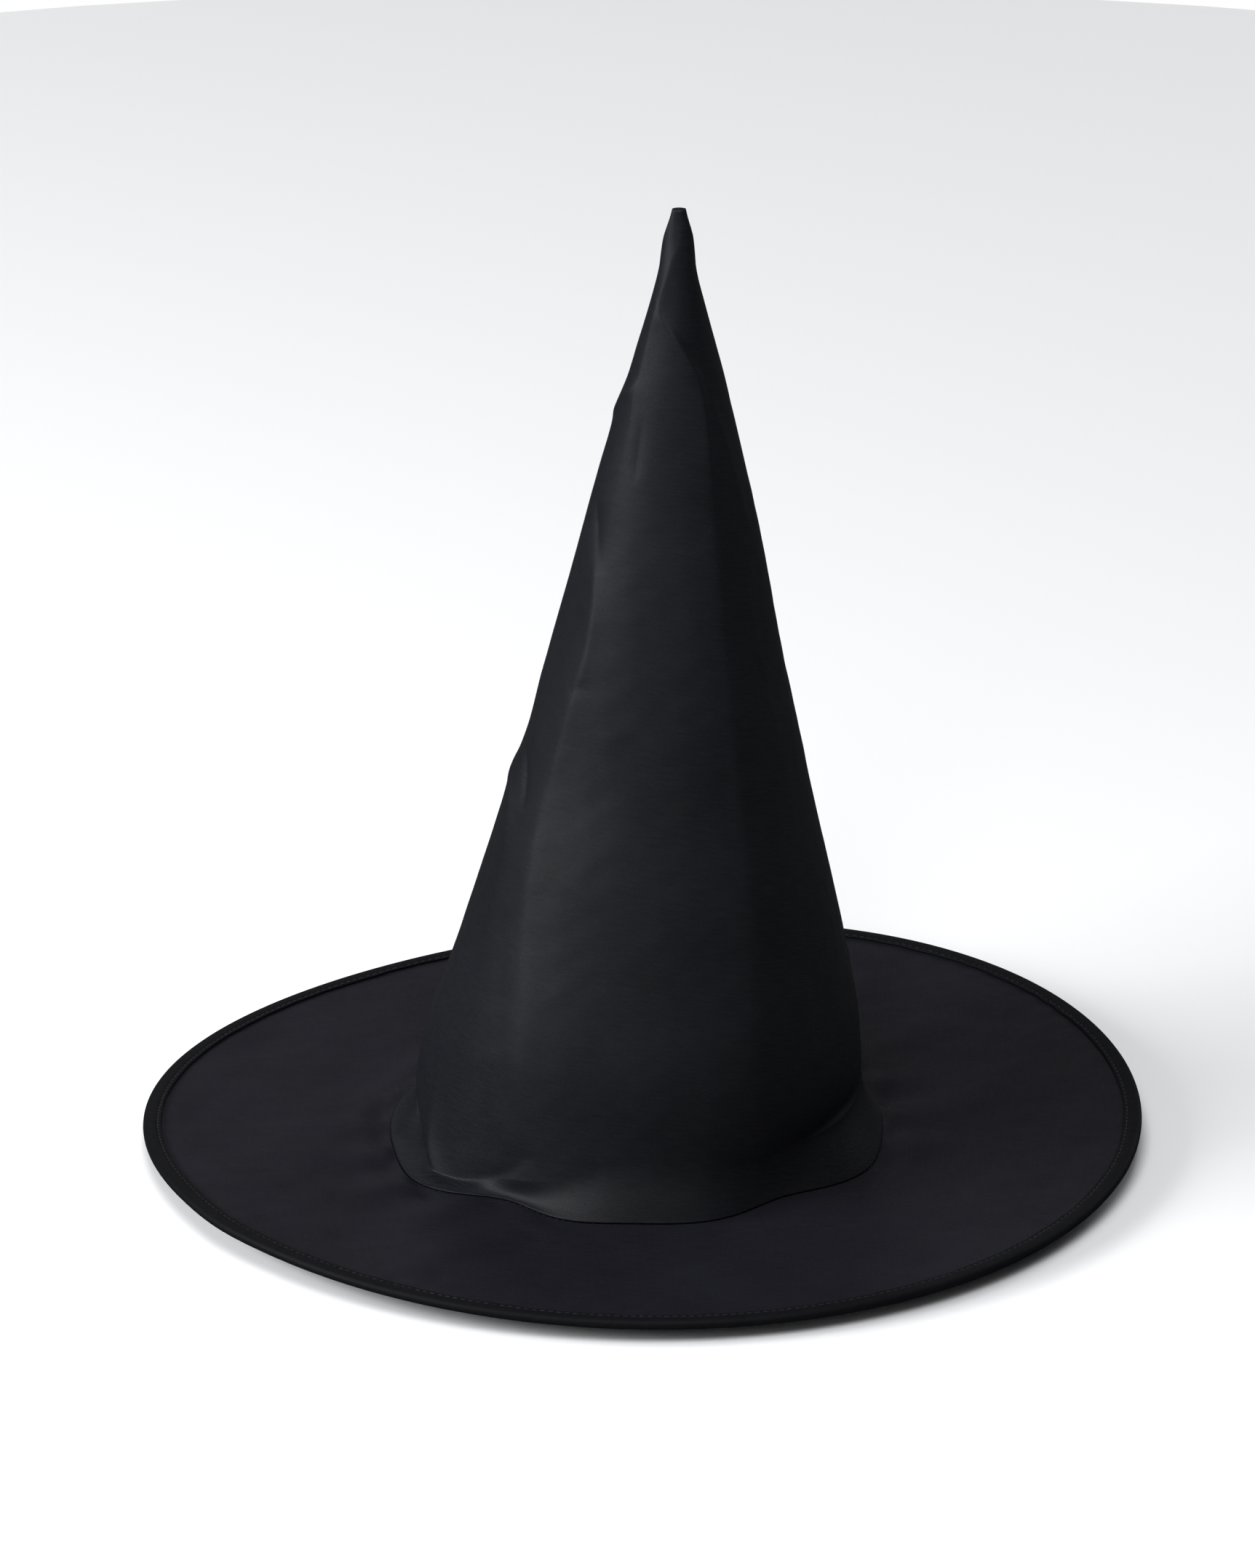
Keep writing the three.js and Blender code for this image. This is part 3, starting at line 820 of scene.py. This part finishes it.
def drawn_steel(name):
    """Spring steel wire: bright, with fine drawing lines along it and dull patches."""
    nodes = Nodes(name)
    vector, _, _ = cloth_vectors(nodes)
    stretched = nodes.add("ShaderNodeMapping")
    nodes.join(vector, stretched.inputs["Vector"])
    stretched.inputs["Scale"].default_value = (0.02, 1.0, 1.0)
    lines = nodes.noise(stretched.outputs["Vector"], 900, 4.0, 0.7)
    patches = nodes.noise(vector, 60, 3.0)
    nodes.surface(
        Base_Color=nodes.shades(patches, (0.30, 0.30, 0.31), (0.55, 0.55, 0.56)),
        Roughness=nodes.between(lines, 0.25, 0.45), Normal=nodes.bump(lines, 0.00002, 0.6),
        Metallic=1.0,
    )
    return nodes.material


BRIM_SHADES = ((0.0016, 0.0016, 0.0022), (0.0099, 0.0095, 0.0140))

crown_cloth = polyester("crown_cloth", (0.0015, 0.0016, 0.0020), (0.0090, 0.0094, 0.0120), 0.44,
                        turned=8, sheen_tint=(0.85, 0.92, 1.0), gloss=0.075)
brim_cloth = polyester("brim_cloth", *BRIM_SHADES, 0.48)
under_cloth = polyester("brim_under_cloth", *BRIM_SHADES, 0.50, turned=24)
# The tape is coloured darker than the brim cloth: painted shade for its casing rounded over the wire.
binding_tape = polyester("binding_tape", (0.0010, 0.0010, 0.0013), (0.0055, 0.0055, 0.0070), 0.60,
                         turned=45, pitch=0.00036, sheen=0.004, gloss=0.03)
ribbon = ribbed_ribbon("ribbon", (0.0020, 0.0020, 0.0022), (0.0110, 0.0110, 0.0120))
stiffener = nonwoven("stiffener", (0.004, 0.004, 0.0042), (0.022, 0.022, 0.023))
thread = sewing_thread("thread", (0.0012, 0.0012, 0.0014), (0.0075, 0.0075, 0.0085))
steel = drawn_steel("spring_steel")


# ---- The brim's pieces ----


def brim_sheet(name, top, bottom, start, end, material, roll=0.0):
    """One layer of the brim between two heights over its middle. roll turns its inner edge down
    into the seam's groove, or up into it if roll is negative."""
    turn = np.linspace(-180, 180, COLUMNS, endpoint=False)
    reach = HOOP_RADIUS - SEAM_RADIUS
    near_seam = [0, 0.12, 0.28, 0.5, 0.9, 1.6, 2.8, 4.4]
    rows = np.concatenate([near_seam, np.linspace(6, end - SEAM_RADIUS - start, BRIM_ROWS - 8)])
    share = (start + rows[:, None]) / reach
    x, y, z = brim_middle(np.broadcast_to(turn, (BRIM_ROWS, COLUMNS)), share)
    middle = np.stack([x, y, z], axis=-1)
    normal = -grid_normals(middle)
    outer, inner = middle + normal * top, middle + normal * bottom
    if roll:
        from_edge = (share - share[0]) * reach
        drop = roll * np.exp(-((from_edge / 0.3) ** 2))[..., None] * np.array([0, 0, 1.0])
        outer, inner = outer - drop, inner - drop
    return cloth_solid(name, outer, inner, middle[..., :2], material)


def brim_pieces():
    top = brim_sheet("brim_upper_cloth", BRIM_HALF, BRIM_HALF - CLOTH, -0.35, CLOTH_EDGE,
                     brim_cloth, roll=0.5)
    under = brim_sheet("brim_lower_cloth", -BRIM_HALF + CLOTH, -BRIM_HALF, -1.2, CLOTH_EDGE,
                       under_cloth, roll=-0.5)
    inner = brim_sheet("brim_stiffener", STIFFENER_HALF, -STIFFENER_HALF, STIFFENER_IN,
                       CLOTH_EDGE - STIFFENER_OUT, stiffener)
    for piece, node in ((top, "brim_top_cloth"), (under, "brim_under_cloth"),
                        (inner, "brim_interlining")):
        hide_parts(node)
    return top, under, inner


def rim_frame(turn):
    """Centre of the rim wire and unit vectors outwards and up, at each turn."""
    t = np.radians(turn)
    r = hoop_radius(turn)
    centre = np.stack([r * np.sin(t), -r * np.cos(t), rim_height(turn)], axis=-1)
    out = np.stack([np.sin(t), -np.cos(t), np.zeros_like(t)], axis=-1)
    up = np.zeros_like(out)
    up[:, 2] = 1
    return centre, out, up


def binding_outline():
    """The folded tape's section: distance outwards from the wire and height over the brim's
    middle. It runs round the outside from the top leg to the lower leg and back inside."""
    leg = BINDING_INNER - HOOP_RADIUS
    half, channel = BINDING_HALF - 0.15, BINDING_HALF - 0.75
    top = [(leg, 1.15), (leg - 0.15, 1.5), (leg, 1.85), (leg + 0.5, 1.98), (leg + 0.95, 1.72),
           (leg + TAPE_STITCH_OUT, 1.58), (leg + 1.6, 1.72), (leg + 2.1, 1.9), (leg + 3.2, 1.93)]
    arc = [(half * math.cos(a), half * math.sin(a))
           for a in np.radians(np.linspace(82, -82, 13))]
    lower = [(x, -y) for x, y in reversed(top)]
    inner_arc = [(channel * math.cos(a), channel * math.sin(a))
                 for a in np.radians(np.linspace(-80, 80, 7))]
    inside = [(leg + 3.2, -1.3), *inner_arc, (leg + 3.2, 1.3)]
    return np.array(top + arc + lower + inside)


def rim_slope_height(turn, outwards):
    """The brim's middle height at a distance outwards from the wire, which is negative inside."""
    inner_share = 1 + outwards / (HOOP_RADIUS - SEAM_RADIUS)
    _, _, z = brim_middle(turn, np.minimum(inner_share, 1.0))
    return z


def edge_binding():
    turn = np.linspace(-180, 180, RIM_COLUMNS, endpoint=False)
    centre, out, _ = rim_frame(turn)
    outline = binding_outline()
    gathers = ring_noise(turn, 120, 260, 16)[:, None]
    loose = ring_noise(turn, 8, 40, 10)[:, None]
    from_edge = outline[:, 0] - outline[:, 0].min()
    near_stitches = bump(np.clip(from_edge, 0, 9), 2.2, 2.0)
    x = outline[None, :, 0] + 0.16 * loose * (1 - np.clip(from_edge / 3, 0, 1))
    y = outline[None, :, 1] + 0.05 * gathers * np.sign(outline[:, 1]) * near_stitches
    base = np.stack([rim_slope_height(turn, min(o, 0.0)) for o in outline[:, 0]], axis=1)
    share = np.clip(-x / 6, 0, 1)
    z = centre[:, 2:3] * (1 - share) + base * share + y
    points = centre[:, None, :] * [1, 1, 0] + x[..., None] * out[:, None, :]
    points[..., 2] = z
    made = tube("rim_tape", centre, points, binding_tape)
    flatten_tape(made, turn, outline)
    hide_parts("edge_binding")
    return made


def flatten_tape(made, turn, outline):
    """Gives the tape flat coordinates: along the rim, and across its folded width."""
    lengths = np.radians(turn + 180) * HOOP_RADIUS
    write_flat(made.data, flat_grid(lengths, path_lengths(outline)))


def brim_hoop():
    half_gap = math.degrees(HOOP_GAP / HOOP_RADIUS)
    turn = np.linspace(HOOP_JOIN + half_gap, HOOP_JOIN + 360 - half_gap, 361)
    centre, out, up = rim_frame(turn)
    sections = round_sections(centre, out, up, WIRE_RADIUS, 10)
    made = tube("rim_wire", centre, sections, steel, closed=False)
    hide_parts("brim_hoop")


def hoop_ferrule():
    """A short tube over the hoop's ends, pinched in at two crimps."""
    half = math.degrees(FERRULE_HALF / HOOP_RADIUS)
    turn = np.linspace(HOOP_JOIN - half, HOOP_JOIN + half, 41)
    centre, out, up = rim_frame(turn)
    along = np.linspace(-FERRULE_HALF, FERRULE_HALF, len(turn))
    crimp = FERRULE_HALF / 2
    pinch = 1 - 0.13 * (bump(along, -crimp, 0.9) + bump(along, crimp, 0.9))
    outer = round_sections(centre, out, up, FERRULE_RADIUS * pinch, FERRULE_SIDES)
    inner = round_sections(centre, out, up, WIRE_RADIUS + 0.12, FERRULE_SIDES)
    flat = flat_grid(along, np.arange(FERRULE_SIDES) * 0.35).reshape(*outer.shape[:2], 2)
    made = cloth_solid("wire_ferrule", outer, inner, flat, steel)
    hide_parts("hoop_ferrule")


def binding_stitches():
    turn = np.linspace(-180, 180, RIM_COLUMNS, endpoint=False)
    centre, out, up = rim_frame(turn)
    inset = BINDING_INNER - HOOP_RADIUS + TAPE_STITCH_OUT
    path = centre * [1, 1, 0] + out * inset
    height = rim_slope_height(turn, inset)[:, None] * [0, 0, 1]
    rise = up * TAPE_STITCH_UP
    above = stitches("rim_tape_stitches", path + height + rise, up, RIM_STITCH)
    stitches("rim_tape_under_stitches", path + height - rise, -up, RIM_STITCH)
    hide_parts("binding_thread")


# ---- The crown's pieces ----


def crown_pieces():
    turn, outer = crown_grid()
    normal = grid_normals(outer)
    uv = np.stack(unrolled(turn, outer[..., 2]), axis=-1)
    inner = outer - normal * CLOTH
    tip = np.array([crown_centre(TIP_Z), 0.0, TIP_Z])
    pole = np.array([tip + [0, 0, 0.35], tip - [0, 0, 0.4]])
    crown = cloth_solid("crown_cone", outer, inner, uv, crown_cloth, pole)
    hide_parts("crown_shell")

    first, last = len(FOOT_ROLL) + FLARE_ROWS - 8, len(outer) - 16
    part, part_normal, part_uv = (grid[first:last:3, ::2] for grid in (outer, normal, uv))
    gap = CLOTH + LINING_GAP
    lining = cloth_solid("crown_stiffener", part - part_normal * gap,
                         part - part_normal * (gap + STIFFENER), part_uv, stiffener)
    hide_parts("crown_interlining")

    band, band_sewn = sweatband(turn, outer, normal)
    crown_seam_stitches(turn, outer, normal)
    return crown, lining, band, band_sewn


def sweatband_face(turn, outer, normal):
    """The sweatband's outer face: rows that leave the head seam, then follow the crown inside."""
    start = len(FOOT_ROLL) + FLARE_ROWS // 2
    stop = int(np.argmax(outer[:, 0, 2] > BAND_TOP)) + 1
    near, inwards = outer[start:stop], normal[start:stop]
    follow = near - inwards * (CLOTH + STIFFENER + 1.3)
    free = ramp(near[..., 2], 14, 30)[..., None]
    waves = ring_noise(turn, 3, 14, 8)[None, :, None]
    follow = follow - inwards * [1, 1, 0] * free * (0.6 + 0.5 * waves)
    x, y = seam_point(turn, -1.9)
    foot = np.stack([x, y, seam_height(turn) - BRIM_HALF - 0.35], axis=-1)
    blend = np.linspace(0, 1, 8, endpoint=False)[:, None, None]
    return np.concatenate([foot[None] * (1 - blend) + follow[0][None] * blend, follow])


def sweatband(turn, outer, normal):
    """The ribbon inside the head opening, sewn in along its lower edge."""
    face = sweatband_face(turn, outer, normal)
    face_normal = grid_normals(face)
    edge = np.zeros(len(face))
    edge[[0, 1, -2, -1]] = (0.16, 0.1, 0.1, 0.16)
    back = face - face_normal * (0.55 + edge)[:, None, None]
    lengths = np.radians(turn + 180) * SEAM_RADIUS
    uv = np.stack(np.meshgrid(lengths, path_lengths(face[:, 0])), axis=-1)
    band = cloth_solid("head_ribbon", face, back, uv, ribbon)
    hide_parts("sweatband")

    row = 3
    path = back[row] - face_normal[row] * 0.1
    sewn = stitches("head_ribbon_stitches", path, -face_normal[row], BAND_STITCH)
    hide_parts("sweatband_thread")
    return band, sewn


def crown_seam_stitches(turn, outer, normal):
    """Small stitches that show in the groove of the back seam."""
    column = int(np.argmin(np.abs(wrapped(turn - 180))))
    rows = slice(len(FOOT_ROLL) + FLARE_ROWS + 2, len(outer) - 6)
    out = normal[rows, column]
    path = outer[rows, column] + out * 0.05
    sewn = stitches("back_seam_stitches", path, out, BACK_SEAM_STITCH, closed=False)
    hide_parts("crown_seam_thread")


def base_seam_stitches():
    """The thread that joins crown and brim, deep in the seam's groove."""
    turn = np.linspace(-180, 180, 720, endpoint=False)
    x, y = seam_point(turn, -0.6)
    path = np.stack([x, y, seam_height(turn) + BRIM_HALF - 0.45], axis=-1)
    up = np.zeros_like(path)
    up[:, 2] = 1
    sewn = stitches("head_seam_stitches", path, up, HEAD_SEAM_STITCH)
    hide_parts("base_seam_thread")


# ---- Stage, lights and camera ----


FLOOR_RADIUS = 1.25
FLOOR_SIDES = 96


def stage():
    """A round pale floor that ends before its far side falls dark."""
    mesh = bpy.data.meshes.new("floor")
    turns = np.linspace(0, 2 * math.pi, FLOOR_SIDES, endpoint=False)
    corners = [(FLOOR_RADIUS * math.cos(a), FLOOR_RADIUS * math.sin(a), 0) for a in turns]
    mesh.from_pydata(corners, [], [list(range(FLOOR_SIDES))])
    floor = bpy.data.objects.new("floor", mesh)
    bpy.context.scene.collection.objects.link(floor)
    nodes = Nodes("floor")
    nodes.surface(Base_Color=(0.86, 0.86, 0.86, 1), Roughness=0.9, Specular_IOR_Level=0.1)
    mesh.materials.append(nodes.material)
    floor.visible_glossy = False


LIGHT_DISTANCE = 2.4
LIGHT_TARGET = Vector((0, 0, 0.12))
LIGHT_COLOUR = (0.97, 0.98, 1.0)
WORLD_STRENGTH = 0.065  # how brightly the white room lights the hat

# Each light's name, its turn and elevation in degrees, width and height in metres, and watts.
LIGHTS = (
    ("side", -100, 22, 1.0, 0.9, 15),
    ("key", -80, 22, 1.0, 0.9, 40),
    ("left", -60, 22, 1.0, 0.9, 32),
    ("low front", -10, 22, 1.0, 0.9, 4),
    ("front", 0, 52, 1.1, 1.1, 37),
    ("above", 0, 89, 1.4, 1.4, 13),
    ("back right", 140, 22, 1.0, 0.9, 9),
    ("back", -170, 22, 1.0, 0.9, 3),
)


def area_light(name, turn, elevation, width, height, power):
    data = bpy.data.lights.new(name, "AREA")
    data.shape = "RECTANGLE"
    data.size, data.size_y, data.energy = width, height, power
    data.color = LIGHT_COLOUR
    light = bpy.data.objects.new(name, data)
    a, e = math.radians(turn), math.radians(elevation)
    away = Vector((math.sin(a) * math.cos(e), -math.cos(a) * math.cos(e), math.sin(e)))
    light.location = LIGHT_TARGET + away * LIGHT_DISTANCE
    light.rotation_euler = (-away).to_track_quat("-Z", "Y").to_euler()
    light.visible_camera = False
    bpy.context.scene.collection.objects.link(light)


def lights():
    """The lights, and a dim white room that the camera sees as plain white."""
    for settings in LIGHTS:
        area_light(*settings)
    world = bpy.data.worlds.new("studio")
    bpy.context.scene.world = world
    world.use_nodes = True
    tree = world.node_tree
    background = tree.nodes["Background"]
    background.inputs["Color"].default_value = (0.96, 0.97, 1.0, 1)
    background.inputs["Strength"].default_value = WORLD_STRENGTH
    seen = tree.nodes.new("ShaderNodeBackground")
    seen.inputs["Color"].default_value = (1, 1, 1, 1)
    seen.inputs["Strength"].default_value = 1.0
    path = tree.nodes.new("ShaderNodeLightPath")
    mix = tree.nodes.new("ShaderNodeMixShader")
    tree.links.new(path.outputs["Is Camera Ray"], mix.inputs[0])
    tree.links.new(background.outputs[0], mix.inputs[1])
    tree.links.new(seen.outputs[0], mix.inputs[2])
    tree.links.new(mix.outputs[0], tree.nodes["World Output"].inputs["Surface"])


CAMERA_ELEVATION = 23.66
CAMERA_DISTANCE = 8.0
CAMERA_LENS = 482.8
AIM_RIGHT, AIM_UP = -5.7, 127.8  # from the brim's centre to the middle of the picture


def camera():
    e = math.radians(CAMERA_ELEVATION)
    away = Vector((0, -math.cos(e), math.sin(e)))
    up = Vector((0, math.sin(e), math.cos(e)))
    brim = Vector((0, 0, RIM_MEAN)) * MM
    target = brim + (Vector((1, 0, 0)) * AIM_RIGHT + up * AIM_UP) * MM
    data = bpy.data.cameras.new("camera")
    data.lens = CAMERA_LENS
    data.clip_end = 100
    made = bpy.data.objects.new("camera", data)
    made.location = brim + away * CAMERA_DISTANCE
    made.rotation_euler = (target - made.location).to_track_quat("-Z", "Y").to_euler()
    bpy.context.scene.collection.objects.link(made)
    bpy.context.scene.camera = made


# ---- Everything together ----

camera()
lights()
stage()

top, under, brim_inner = brim_pieces()
binding = edge_binding()
brim_hoop()
hoop_ferrule()
binding_stitches()
crown, lining, band, band_sewn = crown_pieces()
base_seam_stitches()


scene = bpy.context.scene
scene.view_settings.view_transform = "Standard"
scene.view_settings.look = "None"
